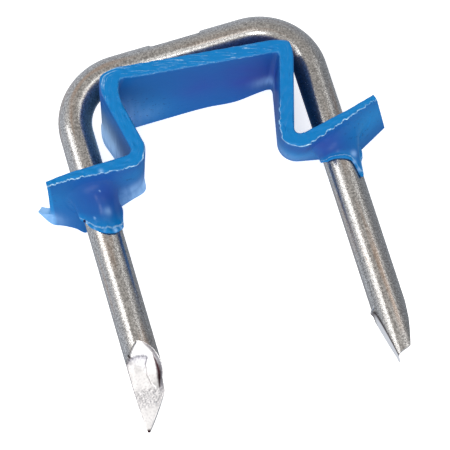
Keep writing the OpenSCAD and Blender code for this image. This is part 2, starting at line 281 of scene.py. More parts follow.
def point_section(d, point):
    """Outline of one leg's section at each distance d above its point, as (across, up) offsets from the
    leg's axis, where it is bare cut metal, and how grey and how dark it is, partly as painted shade. Three
    stretches make it: the sheared face from left to right, the nip down its side, and the round underside back
    to the start. The face is the higher of two planes that run softly into each other: a long bevel that leans
    right and a steep bite that leans left. On the left point a shoulder of round wire stays uncut beside the
    bite, and the right point has a narrow flat. Above the cuts all points lie evenly on the circle."""
    least_turn = 0.02
    even = (np.array([FACE_N + NIP_N, NIP_N, 0]) + EVEN_START) * 2 * np.pi / RING_N
    bevel_c = point.thick - WIRE_R + np.tan(point.bevel) * d
    bite_c = WIRE_R + np.tan(BITE_ANGLE) * (d - SHEAR_L)
    bevel_open = np.arccos(np.clip(bevel_c / WIRE_R, -1, 1))
    bite_open = np.arccos(np.clip(bite_c / WIRE_R, -1, 1))
    bevel_at, bite_at = np.pi / 2 - BEVEL_TURN, np.pi / 2 + BITE_TURN
    start = np.maximum(np.minimum(bevel_at + bevel_open, bite_at + bite_open), bite_at + least_turn)
    end = np.minimum(np.maximum(bevel_at - bevel_open, bite_at - bite_open), bite_at - least_turn)
    across_nip = np.interp(d, point.nip_d, point.nip_across)
    nipped = across_nip < WIRE_R * np.cos(end)
    nip_end = np.where(nipped, -np.arccos(np.clip(across_nip / WIRE_R, -1, 1)), end - 2 * least_turn)
    spread = ease((d - SHEAR_L) / SHEAR_RUN_OUT)
    start, end, nip_end = (cut + (flat - cut) * spread for cut, flat in zip((start, end, nip_end), even))

    def on_circle(first, last, n):
        angle = first[:, None] + (last - first)[:, None] * np.arange(n) / n
        return WIRE_R * np.stack([np.cos(angle), np.sin(angle)], -1)

    def face_up(across, soft):
        bevel_up = (bevel_c[:, None] - np.sin(BEVEL_TURN) * across) / np.cos(BEVEL_TURN)
        bite_up = (bite_c[:, None] + np.sin(BITE_TURN) * across) / np.cos(BITE_TURN)
        return (bevel_up + bite_up + np.sqrt((bevel_up - bite_up) ** 2 + soft ** 2)) / 2

    share = np.arange(FACE_N) / FACE_N
    left_edge = (WIRE_R * np.cos(start))[:, None]
    right_edge = np.where(nipped, across_nip, WIRE_R * np.cos(end))[:, None]
    across = left_edge + (right_edge - left_edge) * share
    soft = FACE_SOFT * ease(np.minimum(share, 1 - share) / 0.2)
    up = face_up(across, soft) + shear_relief(across, d[:, None], share)
    uncut = np.zeros(across.shape, bool)
    if point is LEFT_POINT:
        past = across - np.interp(d, *BITE_LEFT)[:, None]
        uncut = past < 0.02
        up = up + (np.sqrt(np.maximum(WIRE_R ** 2 - across ** 2, 0)) - up) * (1 - ease(past / 0.1))
    sheared = (d < SHEAR_L)[:, None]
    face = np.where(sheared[..., None], np.stack([across, up], -1), on_circle(start, end, FACE_N))

    top = np.stack([right_edge, face_up(right_edge, 0)], -1)
    foot = WIRE_R * np.stack([np.cos(nip_end), np.sin(nip_end)], -1)[:, None]
    cut_nip = top + (foot - top) * (np.arange(NIP_N) / NIP_N)[:, None]
    nip = np.where(nipped[:, None, None], cut_nip, on_circle(end, nip_end, NIP_N))
    under = on_circle(nip_end, start - 2 * np.pi, RING_N - FACE_N - NIP_N)
    section = np.concatenate([face, nip, under], 1)
    bare = np.zeros(section.shape[:2], bool)
    bare[:, :FACE_N] = sheared & ~uncut
    bare[:, FACE_N:FACE_N + NIP_N + 1] = nipped[:, None]
    torn, dark_and_shade = np.zeros(bare.shape), np.zeros(bare.shape)
    if point is LEFT_POINT:
        torn[:, :FACE_N], dark_and_shade[:, :FACE_N] = shear_marks(across, d[:, None], share)
    else:
        section, on_flat, dark_and_shade = narrow_flat(section, d[:, None])
        bare = bare | on_flat
    return section, bare, torn, dark_and_shade


def narrow_flat(section, d):
    """The section moved onto the narrow flat down the right point's left, which points lie on that flat, and
    the painted shade along its outlines. A plane that leans in towards the tip makes it, with a burr at its
    top. It leaves a sliver of what it cuts, so that the tip keeps some thickness."""
    facing = -np.array([np.cos(FACET_TURN), np.sin(FACET_TURN)])
    proud = section @ facing - (WIRE_R - np.tan(FACET_ANGLE) * (FACET_L - d))
    burr = FACET_BURR * bell(d - FACET_L + 0.1, 0.16) * bell(proud - 0.02, FACET_RIM)
    sliver = 0.04 + 0.16 * ease((0.5 - d) / 0.5)
    # Painted shade: dark lines along the flat's outlines
    dark_and_shade = 0.95 * bell(proud, FACET_RIM) * ease((FACET_L - d) / 0.3)
    return section + (burr - np.maximum(proud, 0) * (1 - sliver))[..., None] * facing, proud > -1e-9, dark_and_shade


def shear_ledge(across, d):
    """Distance past the ledge on the left point's sheared face: above an arch across it, or to the right of
    a line down from the arch's end."""
    arch = 4.92 - 0.3 * (across + 0.45) ** 2
    return np.maximum(d - arch, across - np.interp(d, *LEDGE_SIDE))


def shear_relief(across, d, share):
    """Height of the torn detail on the sheared face, fading out at its rim: a lip that stands proud past the
    ledge, a crumpled band below it, and faint waves."""
    rim = ease(np.minimum(share, 1 - share) / 0.12) * band(d, 0, 0.6, SHEAR_L, 0.5)
    lip = LIP_H * ease(shear_ledge(across, d) / 0.08) * band(d, 2.7, 0.5, SHEAR_L, 0.8)
    place = np.stack(np.broadcast_arrays(across, d), -1)
    crumple = CRUMPLE_H * waves(place, 0.3, 5) * band(d, 1.4, 0.4, 3.1, 0.4)
    return rim * (lip + crumple + FACE_WAVE_H * waves(place, 1.1, 9))


def shear_marks(across, d, share):
    """How grey and how dark the left sheared face is: grey in the crumpled band and on its right flank, painted
    shade that fades down from the ledge's step and outlines the face's left rim, a painted shade line along the
    ledge's side, a dark line between face and flank, a painted shadow where the arch starts, and a dark tip."""
    past = shear_ledge(across, d)
    right = across - np.interp(d, *FLANK_EDGE)
    place = np.stack(np.broadcast_arrays(across, d), -1)
    # Painted shade: grey that fades down from under the ledge's step, and a grey outline along the left rim
    below = 0.9 * np.exp(np.minimum(past, 0) / 0.3) * (past < 0.03) * ease((d - 3.9) / 0.8)
    crumple = band(d, 1.4, 0.4, 3.05, 0.4) * np.clip(0.25 + 0.2 * waves(place, 0.14, 31), 0, 0.6)
    left_rim = 0.8 * ease((0.035 - share) / 0.02) + 0 * across
    flank = 0.7 * ease(right / 0.1) * ease((d - 2.3) / 0.4)
    torn = np.clip(np.max([below, crumple, left_rim, flank], 0) + 0.1 * waves(place, 0.22, 32), 0, 1)
    # Painted shade along the ledge's side; the streak is a dark line between face and flank
    side = 0.6 * bell(past, 0.025) * band(d, 2.9, 0.2, 3.9, 0.2)
    broad = 0.03 + 0.14 * bell(d - 3.75, 0.6)
    streak = bell(right - broad, broad) * band(d, 2.6, 0.3, 5.65, 0.2) * (0.6 + 0.4 * ease((4.9 - d) / 0.5))
    # Painted shadow where the arch starts, and a dark tip
    corner_shadow = 1.3 * bell(across + 0.8 + 0.8 * (d - 5), 0.09) * bell(d - 5, 0.08)
    tip = ease((0.28 - d) / 0.2) + 0 * across
    return torn, np.clip(np.max([side, streak, corner_shadow, tip], 0), 0, 1)


def wire_half(point, turn):
    """Half of the staple as rings of points: straight up the leg from its point, round the bend and along
    the crown to its middle, first laid out as a left half and then turned half round about Y for the right
    (turn -1). Also gives each point's place on the straight wire, and where the metal is bare, grey and
    dark, partly as painted shade."""
    leg_top = point.length - WIRE_R - BEND_R
    d = np.concatenate([np.arange(0, SHEAR_L + 0.6, POINT_STEP),
                        np.linspace(SHEAR_L + 0.65, leg_top, LEG_ROWS)])
    section, *marks = point_section(d, point)
    section = section * np.array([turn, 1])
    even = section[-1]
    bend_turn = np.linspace(0, np.pi / 2, BEND_ROWS + 1)[1:, None]
    crown_x = np.linspace(BEND_R - LEG_X, 0, CROWN_ROWS + 1)[1:, None]
    reach = BEND_R - even[:, 0]
    x = np.concatenate([section[..., 0] - LEG_X, BEND_R - LEG_X - reach * np.cos(bend_turn),
                        crown_x + 0 * reach])
    y = np.concatenate([(WIRE_R - point.length + d)[:, None] + 0 * section[..., 0],
                        reach * np.sin(bend_turn) - BEND_R, -even[:, 0] + 0 * crown_x])
    section = np.concatenate([section, np.tile(even, (BEND_ROWS + CROWN_ROWS, 1, 1))])
    z = section[..., 1]
    half_crown = LEG_X - BEND_R
    along = np.concatenate([half_crown + BEND_R * np.pi / 2 + leg_top - d,
                            half_crown + BEND_R * (np.pi / 2 - bend_turn[:, 0]), -crown_x[:, 0]])
    straight = np.stack([section[..., 0] * turn, z * turn, along[:, None] * turn + 0 * x], -1)
    plain = np.zeros((BEND_ROWS + CROWN_ROWS, RING_N))
    bare, torn, dark_and_shade = (np.concatenate([mark, plain]) for mark in marks)
    return np.stack([x * turn, y, z * turn], -1), straight, bare > 0, torn, dark_and_shade


def wire_staple(materials):
    """The two halves, welded in the middle of the crown, with a shallow flat pressed into its outside. A fan
    of triangles closes each point's tip, which is dark."""
    points, straight, sheared, faces, torn, dark_and_shade = [], [], [], [], [], []
    start = 0
    for point, turn in ((LEFT_POINT, 1), (RIGHT_POINT, -1)):
        rings, unbent, bare, grey, black = wire_half(point, turn)
        points += [rings.reshape(-1, 3), rings[0].mean(0)[None]]
        straight += [unbent.reshape(-1, 3), unbent[0].mean(0)[None]]
        torn += [grey.ravel(), [0]]
        dark_and_shade += [black.ravel(), [1]]
        quads = grid_faces(*bare.shape).reshape(-1, 4)
        ring = np.arange(RING_N)
        fan = np.stack([ring, (ring + 1) % RING_N, np.full(RING_N, bare.size), np.full(RING_N, -1)], -1)
        faces += [np.where(block < 0, -1, block + start) for block in (quads, fan)]
        sheared += [bare.ravel()[quads].all(1), np.ones(RING_N, bool)]
        start += bare.size + 1
    points = np.concatenate(points)
    off_middle = np.abs(points[:, 0])
    facing = np.array([0, np.cos(FLAT_TURN), np.sin(FLAT_TURN)])
    flat = FLAT_DEPTH * ease((FLAT_L / 2 - off_middle) / FLAT_RUN_OUT + 0.5)
    proud = np.where(points[:, 1] > -WIRE_R, points @ facing - WIRE_R + flat, 0)
    points -= np.maximum(proud, 0)[:, None] * facing * (off_middle < FLAT_L)[:, None]
    attributes = {"wire_mm": straight, "torn": torn, "dark_and_shade": dark_and_shade}
    return mesh_piece("drawn_wire_staple", points, np.concatenate(faces), np.concatenate(sheared),
                      {label: np.concatenate(values) for label, values in attributes.items()},
                      materials, math.radians(32))


# Insulating saddle


def fold_corners(side, share):
    """Shoulder, foot, kink and flange-end corners of one side as (out, y) points, where out is the distance
    from the middle of the crown. Each runs straight from the strip's lower edge to its upper edge."""
    lower, upper = (np.array(edge) for edge in FOLDS[side])
    fold = Fold(*np.moveaxis(lower + (upper - lower) * share[..., None], -1, 0))
    shoulder_y = -WIRE_R - fold.drop
    foot_y = shoulder_y - fold.wall_h
    kink_y = foot_y - fold.dip
    return (np.stack([LEG_X - fold.shoulder_in, shoulder_y], -1), np.stack([LEG_X - fold.foot_in, foot_y], -1),
            np.stack([np.full_like(kink_y, LEG_X + KINK_OUT), kink_y], -1),
            np.stack([LEG_X + fold.reach, kink_y + fold.rise], -1))


def unit(v):
    """Vectors of length one."""
    return v / np.linalg.norm(v, axis=-1, keepdims=True)


def fold_arc(a, b, c):
    """Circular arcs of the fold radius that round the corner b on the way from a to c, and the angles that
    they turn."""
    into, away = unit(b - a), unit(c - b)
    turn = np.arctan2(into[:, 0] * away[:, 1] - into[:, 1] * away[:, 0], (into * away).sum(-1))
    start = b - into * (FOLD_R * np.tan(np.abs(turn) / 2))[:, None]
    centre = start + np.stack([-into[:, 1], into[:, 0]], -1) * (FOLD_R * np.sign(turn))[:, None]
    angle = turn * np.linspace(0, 1, FOLD_N + 1)[:, None]
    arm = start - centre
    arc = centre + np.stack([arm[:, 0] * np.cos(angle) - arm[:, 1] * np.sin(angle),
                             arm[:, 0] * np.sin(angle) + arm[:, 1] * np.cos(angle)], -1)
    return arc, np.abs(turn)


def flange_middle(side, out, share):
    """Height and slope of a flange's middle surface: straight from the foot to the kink, then to the
    flange's end, then up along the torn tab, each corner softened as a hyperbola."""
    _, foot, kink, end = fold_corners(side, share)
    slope_in = (kink[..., 1] - foot[..., 1]) / (kink[..., 0] - foot[..., 0])
    slope_out = (end[..., 1] - kink[..., 1]) / (end[..., 0] - kink[..., 0])
    slope_tab = np.tan(tab_lean(side, share))
    height = kink[..., 1] + slope_in * (out - kink[..., 0])
    slope = slope_in
    for corner, change in ((kink[..., 0], slope_out - slope_in), (end[..., 0], slope_tab - slope_out)):
        past = out - corner
        root = np.sqrt(past ** 2 + (KINK_L / 2) ** 2)
        height = height + change * (past + root) / 2
        slope = slope + change * (1 + past / root) / 2
    return height, slope


def torn_share(side, share):
    """1 at the torn corner of the left flange, falling as a parabola to 0 at the end of the tab's root; 0 on
    the right."""
    left = np.clip(1 - share * STRIP_W / TAB_W, 0, 1)
    return left * (2 - left) * (side < 0)


def tab_lean(side, share):
    """Angle at which the flange runs on past its end: its own slope, turned up where the tab is torn."""
    _, _, kink, end = fold_corners(side, share)
    past = end - kink
    return np.arctan2(past[..., 1], past[..., 0]) + TAB_TURN * torn_share(side, share)


def flange_half_t(side, out, share):
    """Half the flange's thickness: it thins evenly from the foot to the kink and on to the end."""
    _, foot, kink, end = fold_corners(side, share)
    inner = np.clip((out - foot[..., 0] - FOLD_R) / (kink[..., 0] - foot[..., 0] - FOLD_R), 0, 1)
    outer = np.clip((out - kink[..., 0]) / (end[..., 0] - kink[..., 0]), 0, 1)
    return (STRIP_T + (FLANGE_KINK_T - STRIP_T) * inner + (FLANGE_END_T - FLANGE_KINK_T) * outer) / 2


def flange_sheet(side, x, z, face):
    """Points on the crown's side (face 1) or the points' side (face -1) of a flange, at x and z."""
    share = z / STRIP_W + 0.5
    height, slope = flange_middle(side, side * x, share)
    half = face * flange_half_t(side, side * x, share) / np.sqrt(1 + slope ** 2)
    return np.stack([x - side * slope * half, height + half, z], -1)


def side_line(side, share):
    """Middle line of one side at every share, as (out, y), with half thicknesses, from the flange's end in
    to the shoulder. The flange's stretches end on the window that the collar fills. Also gives by what share
    the shoulder's radius grows where its arc is filled out to a softened mitre."""
    shoulder, foot, kink, end = fold_corners(side, share)
    foot_arc, _ = fold_arc(kink, foot, shoulder)
    shoulder_arc, turn = fold_arc(foot, shoulder, fold_corners(-side, share)[0] * np.array([-1, 1]))
    tab = (TAB_ROOT + TAB_L * torn_share(side, share)) * np.cos(tab_lean(side, share)) * (side < 0)
    foot_start = foot_arc[0, :, 0]
    window_out = np.full_like(share, LEG_X + COLLARS[side].root_out + WINDOW_PAD)
    window_in = np.minimum(LEG_X + 0.3, np.maximum(LEG_X - ROOT_IN - WINDOW_PAD, foot_start + 0.08))
    stops = [end[:, 0] + tab, window_out, window_in, foot_start]
    out = np.concatenate([a + (b - a) * (np.arange(n) / n)[:, None]
                          for a, b, n in zip(stops, stops[1:], (END_N, WINDOW_N, FOOT_N))])
    height, _ = flange_middle(side, out, share)
    wall = foot_arc[-1] + (shoulder_arc[0] - foot_arc[-1]) * (np.arange(1, WALL_N) / WALL_N)[:, None, None]
    line = np.concatenate([np.stack([out, height], -1), foot_arc, wall, shoulder_arc])
    half = np.full(line.shape[:2], STRIP_T / 2)
    half[:len(out)] = flange_half_t(side, out, share)
    past = np.linspace(-0.5, 0.5, len(shoulder_arc))[:, None]
    mitre = 1 / np.cos(turn * np.clip(0.5 - np.sqrt(past ** 2 + EAR_SOFT ** 2), 0, None)) - 1
    ear = np.zeros_like(half)
    ear[-len(shoulder_arc):] = EAR_SHARE[side] * mitre
    return line, half, ear


def edge_profile():
    """The strip's section across its width, a rectangle with rounded corners, as four arrays: width and
    thickness coordinates of the corners' centres, from -1 to 1, and of the normals there. It starts in the
    middle of the lower edge and passes the crown's side first."""
    quarter = np.linspace(0, np.pi / 2, CORNER_ROWS + 1)
    rise = np.linspace(0, 1, EDGE_ROWS // 2 + 1)[:-1]
    flat = np.linspace(-1, 1, FLAT_ROWS + 1)[1:-1]
    side_ones, side_zeros = np.ones(len(rise)), np.zeros(len(rise))
    wide_ones = np.ones(len(rise) + len(quarter))
    wide = np.concatenate([-wide_ones, flat, wide_ones])
    thick = np.concatenate([rise, np.ones(2 * len(quarter) + len(flat)), rise[::-1]])
    normal_w = np.concatenate([-side_ones, -np.cos(quarter), 0 * flat, np.sin(quarter), side_ones])
    normal_t = np.concatenate([side_zeros, np.sin(quarter), 0 * flat + 1, np.cos(quarter), side_zeros])
    half = np.stack([wide, thick, normal_w, normal_t], -1)
    back = half[1:-1][::-1] * np.array([1, -1, 1, -1])
    return np.concatenate([half, back]).T


def strip_surface():
    """The whole strip: the rounded section carried along the middle line from the left flange's end, over
    the web, to the right flange's end. The upper cut edge lies a little hollow, and leaves a ragged burr
    along the corner on the cable's side. Returns the points, how far each lies on a cut edge, its place on
    the flat strip (along it, through it and across it), and for the burr its distance and how far the painted
    highlights of its thread and the painted glints on the scratches show there."""
    wide, thick, normal_w, normal_t = edge_profile()
    z = wide * (STRIP_W / 2 - EDGE_R) + normal_w * EDGE_R
    share = z / STRIP_W + 0.5
    left, left_half, left_ear = side_line(-1, share)
    right, right_half, right_ear = (part[::-1] for part in side_line(1, share))
    left = left * np.array([-1, 1])
    web = left[-1] + (right[0] - left[-1]) * (np.arange(1, WEB_N) / WEB_N)[:, None, None]
    line = np.concatenate([left, web, right])
    half = np.concatenate([left_half, np.full(web.shape[:2], STRIP_T / 2), right_half])
    ear = np.concatenate([left_ear, np.zeros(web.shape[:2]), right_ear])
    ear = ear * ease((np.abs(z) - EAR_Z[0]) / (EAR_Z[1] - EAR_Z[0]))
    run = np.gradient(line, axis=0)
    normal = unit(np.stack([-run[..., 1], run[..., 0]], -1))
    offset = thick * (half - EDGE_R) + normal_t * EDGE_R
    along = np.concatenate([[0], np.cumsum(np.linalg.norm(np.diff(line, axis=0), axis=-1).mean(1))])[:, None]
    flat = np.stack(np.broadcast_arrays(along, offset, z), -1)
    near = ease((z - STRIP_W / 2 + 0.4) / 0.4)
    corner = bell(offset + half, BURR_W) * near
    # Shares of the ragged burr and its painted highlight thread, and of the painted glints on scratches
    thread = np.interp(line[..., 1], (-7.6, -6.8, -3.6, -3.0), (1, 0.1, 0.1, 0.15))
    scratched = np.interp(line[..., 1], (-3.6, -3.0), (0.1, 1))
    ragged = ease(0.5 + 0.35 * waves(along, 0.8, 21) + 0.3 * waves(along, 0.3, 22))[:, None] * thread
    hollow = EDGE_HOLLOW + 0.022 * waves(flat[..., :2] * np.array([1, 3]), 0.8, 23)
    offset = offset - corner * (BURR_H * ragged - 0.05) + ear * (FOLD_R + offset)
    z = z - near * np.clip(hollow, 0, None) * (1 - corner * ragged)
    points = np.concatenate([line + normal * offset[..., None], z[..., None]], -1)
    for pull in PULLS:
        points[..., :2] += bell_about(points, pull)[..., None] * pull[4:]
    from_burr = np.clip(flat[..., 1] + half - (STRIP_W / 2 - flat[..., 2]), -1, 1)
    from_burr = np.stack([from_burr, thread, scratched], -1)
    return points, np.broadcast_to(np.abs(normal_w), line.shape[:2]), flat, from_burr


def lump_swell(angle, lumps):
    """Sum of bell curves round the collar, one for each lump, as high as its swell."""
    total = np.zeros_like(angle)
    for lump in lumps:
        away = (np.degrees(angle) - lump.at + 180) % 360 - 180
        total += lump.swell * bell(away, lump.spread)
    return total


def collar_sleeve(side, bottom, top):
    """The pierced, dragged collar round one leg, one row of points for each point of the window's border.
    A row runs in along the underside of the flange to an elliptical root, sweeps down the leg to the round
    rim as a trumpet, curls over the rim, climbs the bore and runs out along the crown's side. The rim
    follows the collar's own curve round the leg, with lumps. Returns the same four as strip_surface."""
    collar = COLLARS[side]
    axis = side * LEG_X
    root_z, shift_z = (ROOT_UPPER + ROOT_LOWER) / 2, (ROOT_UPPER - ROOT_LOWER) / 2
    border_x, border_z = (top[:, :1] + bottom[:, :1]) / 2 - axis, bottom[:, 2:]
    reach = np.where(border_x * side > 0, collar.root_out, ROOT_IN)
    angle = np.arctan2((border_z - shift_z) / root_z, border_x / reach)
    cos, sin = np.cos(angle), np.sin(angle)
    hole_r = WIRE_R + GRIP_CLEAR + lump_swell(angle, collar.gaps)
    swell = lump_swell(angle, collar.lumps)
    rim_t = COLLAR_RIM_T + swell
    rim_r = hole_r + COLLAR_RIM_T
    rim_y = np.interp(np.degrees(angle), list(collar.rim), list(collar.rim.values()), period=360) + rim_t / 2

    def at(x, y, z):
        x, y, z = np.broadcast_arrays(x, y, z)
        return np.stack([axis + x, y, z], -1)

    def sheet(x, z, face):
        return flange_sheet(side, axis + x, z, face)

    root_x, root_up = reach * cos, shift_z + root_z * sin
    run = np.arange(1, UNDER_N) / UNDER_N
    under = sheet(border_x + (root_x - border_x) * run, border_z + (root_up - border_z) * run, -1)
    down = np.linspace(0, 1, FLARE_N)
    start = sheet(root_x, root_up, -1)
    wide = (1 - down) ** FLARE_POWER
    x, z = root_x * wide + rim_r * cos * (1 - wide), root_up * wide + rim_r * sin * (1 - wide)
    bulge = swell * ease((down - 0.86) / 0.14)
    for nub in collar.nubs:
        bulge = bulge + lump_swell(angle, [nub]) * bell(down - nub.depth, NUB_L)
    y = start[..., 1] + (rim_y - start[..., 1]) * down ** FLARE_POWER
    flare = at(x + bulge * cos + (start[..., 0] - axis - root_x) * wide, y, z + bulge * sin)
    curl = np.linspace(0, np.pi, CURL_N + 1)[1:]
    radius = hole_r + rim_t * (0.5 + 0.5 * np.cos(curl))
    rim = at(radius * cos, rim_y - rim_t * 0.5 * np.sin(curl), radius * sin)
    mouth = sheet(hole_r * cos, hole_r * sin, 1)[..., 1] - MOUTH_DIP
    rim_end = rim[:, -1:, 1]
    climb = np.linspace(0, 1, BORE_N + 1)[1:]
    bore = at(hole_r * cos, rim_end + (mouth - rim_end) * climb, hole_r * sin)
    run = np.arange(1, CROWN_SIDE_N) / CROWN_SIDE_N
    x, z = hole_r * cos + (border_x - hole_r * cos) * run, hole_r * sin + (border_z - hole_r * sin) * run
    crown_side = sheet(x, z, 1)
    crown_side[..., 1] -= MOUTH_DIP * bell(np.hypot(x, z) - hole_r, 0.25) * (1 - run)
    rows = np.concatenate([bottom[:, None], under, flare, rim, bore, crown_side, top[:, None]], 1)
    inside = np.ones(BORE_N + CROWN_SIDE_N)
    # Cyan of the rim's cut edge, partly painted light, fading over the curl as painted shade on its underside
    lit_rim = np.concatenate([np.zeros(UNDER_N), ease((down - 0.72) / 0.28), np.linspace(1, 0, CURL_N),
                             0 * inside])
    flat = np.stack(np.broadcast_arrays(angle * WIRE_R, rows[..., 1], 0), -1)
    # Painted highlight thread along the rim's burr
    from_burr = np.concatenate([-np.ones(UNDER_N), (down - 0.95) * 4, np.ones(CURL_N), inside])
    thread = np.full(rows.shape[:2], 0.5)
    from_burr = np.stack(np.broadcast_arrays(np.clip(from_burr, -1, 1), thread, 0), -1)
    return rows, np.broadcast_to(lit_rim, rows.shape[:2]), flat, from_burr


def marked(points, marks):
    """How strongly each point is marked: the largest of the bell curves about the marks."""
    return np.max([mark.share * bell_about(points, mark) for mark in map(Mark._make, marks)], 0)


def insulating_saddle(material):
    """The strip with a window left open on both sides of each flange, the two collars that fill the
    windows, and flat ends."""
    surface = strip_surface()
    strip = surface[0]
    stations, ring = strip.shape[:2]
    layers = [[layer.reshape(stations * ring, -1)] for layer in surface]
    faces = grid_faces(stations, ring)
    keep = np.ones(faces.shape[:2], bool)
    z = strip[0, :ring // 2, 2]
    window_rows = np.flatnonzero((z > WINDOW_Z[0]) & (z < WINDOW_Z[1]))
    first, last = window_rows[0], window_rows[-1]
    blocks = []
    start = stations * ring
    for side, low in ((-1, END_N), (1, stations - 1 - END_N - WINDOW_N)):
        high = low + WINDOW_N
        keep[low:high, first:last] = keep[low:high, ring - last:ring - first] = False
        along, over = np.arange(low, high), np.arange(first, last)
        i = np.concatenate([0 * over + low, along, 0 * over + high, along[::-1] + 1])
        j = np.concatenate([over, 0 * along + last, over[::-1] + 1, 0 * along + first])
        sleeve = collar_sleeve(side, strip[i, ring - j], strip[i, j])
        columns, rows = sleeve[0].shape[:2]
        blocks.append(grid_faces(rows, columns).reshape(-1, 4) + start)
        for layer, part in zip(layers, sleeve):
            layer.append(part.swapaxes(0, 1).reshape(rows * columns, -1))
        start += rows * columns
    j = np.arange(ring // 2)
    end = np.stack([j, j + 1, ring - j - 1, ring - j], -1)
    end[0, 3] = end[-1, 3] = -1
    end[-1, 2] = ring // 2 + 1
    blocks += [faces[keep], end, np.where(end < 0, -1, end + (stations - 1) * ring)]
    faces = np.concatenate(blocks)
    points, cut, laid, burr = (np.concatenate(layer) for layer in layers)
    share = points[:, 2] / STRIP_W + 0.5
    past_end = -points[:, 0] - fold_corners(-1, share)[3][:, 0]
    torn_tab = 0.7 * ease(past_end / 0.12) * ease(4 * torn_share(-1, share))
    # Cyan on cut edges and the torn tab's end, partly painted light
    attributes = {"cut_edge": np.maximum(cut[:, 0], 0.8 * ease((past_end + 0.08) / 0.1)),
                  "strip_mm": laid, "burr_mm": burr}
    attributes.update({label: marked(points, marks) for label, marks in MARKS.items()})
    attributes["whitening_and_highlight"] = np.maximum(attributes["whitening_and_highlight"], torn_tab)
    return mesh_piece("moulded_saddle", points, faces, np.zeros(len(faces), int), attributes, [material],
                      math.radians(50))


# Materials: patterns on wire_mm and strip_mm have scales of one over their size in millimetres


def colour(code):
    """Linear colour of an sRGB hex value."""
    value = np.array([int(code[i:i + 2], 16) for i in (1, 3, 5)]) / 255
    return (*np.where(value <= 0.04045, value / 12.92, ((value + 0.055) / 1.055) ** 2.4), 1)


def add(tree, kind, inputs=None, output=None, **settings):
    """Adds a node, sets its settings, and gives each input its value or a link from a socket. Returns the
    output of that name, or else the first one in use."""
    node = tree.nodes.new("ShaderNode" + kind)
    for name, value in settings.items():
        setattr(node, name, value)
    for name, value in (inputs or {}).items():
        if isinstance(value, bpy.types.NodeSocket):
            tree.links.new(value, node.inputs[name])
        else:
            node.inputs[name].default_value = value
    return node.outputs[output] if output else next((socket for socket in node.outputs if socket.enabled), None)


def new_material(name):
    """An empty node material and the tree that its nodes go into."""
    material = bpy.data.materials.new(name)
    material.use_nodes = True
    material.node_tree.nodes.clear()
    return material, material.node_tree


def drawn_steel():
    """Bare carbon steel wire, drawn through a die and lightly tarnished: satin grey with a fine even mottle,
    faint draw lines and brown streaks along the wire."""
    material, tree = new_material("drawn_carbon_steel_wire")
    place = add(tree, "Attribute", output="Vector", attribute_name="wire_mm")
    grain = add(tree, "TexNoise", {"Vector": place, "Scale": 1 / 0.11, "Roughness": 0.6})
    long_way = add(tree, "Mapping", {"Vector": place, "Scale": (1 / 0.12, 1 / 0.12, 1 / 5)})
    lines = add(tree, "TexNoise", {"Vector": long_way, "Scale": 1.0})
    stain_way = add(tree, "Mapping", {"Vector": place, "Scale": (1 / 0.6, 1 / 0.6, 1 / 7)})
    stain = add(tree, "TexNoise", {"Vector": stain_way, "Scale": 1.0, "Detail": 3.0})
    tint = add(tree, "ValToRGB", {"Fac": grain})
    low, high = tint.node.color_ramp.elements
    low.position, high.position = 0.3, 0.7
    low.color, high.color = colour("#7b7a79"), colour("#c6c5c3")
    brown = add(tree, "MapRange", {"Value": stain, "From Min": 0.52, "From Max": 0.68, "To Max": 0.45})
    # Dark marks and painted shade that reach onto the round wire at the sheared faces' outlines
    dark_and_shade = add(tree, "Attribute", output="Fac", attribute_name="dark_and_shade")
    for share, code in ((brown, "#a98a70"), (dark_and_shade, "#2c2426")):
        tint = add(tree, "Mix", {"Factor": share, "A": tint, "B": colour(code)}, data_type="RGBA")
    rough = add(tree, "MapRange", {"Value": grain, "To Min": 0.2, "To Max": 0.3})
    height = add(tree, "Math", {0: grain, 1: lines}, operation="ADD")
    bump = add(tree, "Bump", {"Height": height, "Strength": 0.12, "Distance": 0.015 * MM})
    shader = add(tree, "BsdfPrincipled",
                 {"Base Color": tint, "Metallic": 1.0, "Roughness": rough, "Normal": bump})
    add(tree, "OutputMaterial", {"Surface": shader})
    return material


def sheared_steel():
    """Carbon steel bared by a shear cut: bright white metal with a fine grain, grey where it tore and where
    shade is painted, and near black along dark lines, at the tip and where shade and shadow are painted."""
    material, tree = new_material("sheared_carbon_steel")
    place = add(tree, "Attribute", output="Vector", attribute_name="wire_mm")
    grain = add(tree, "TexNoise", {"Vector": place, "Scale": 1 / 0.16, "Detail": 3.0})
    rough = add(tree, "MapRange", {"Value": grain, "To Min": 0.4, "To Max": 0.6})
    bump = add(tree, "Bump", {"Height": grain, "Strength": 0.15, "Distance": 0.02 * MM})
    # Grey for torn metal and painted shade, near black for dark lines, the tip, painted shade and shadow
    torn, dark_and_shade = (add(tree, "Attribute", output="Fac", attribute_name=name) for name in ("torn", "dark_and_shade"))
    tint = colour("#efeeee")
    for share, code in ((torn, "#8f8d96"), (dark_and_shade, "#36181c")):
        tint = add(tree, "Mix", {"Factor": share, "A": tint, "B": colour(code)}, data_type="RGBA")
    shader = add(tree, "BsdfPrincipled",
                 {"Base Color": tint, "Metallic": 1.0, "Roughness": rough, "Normal": bump})
    add(tree, "OutputMaterial", {"Surface": shader})
    return material


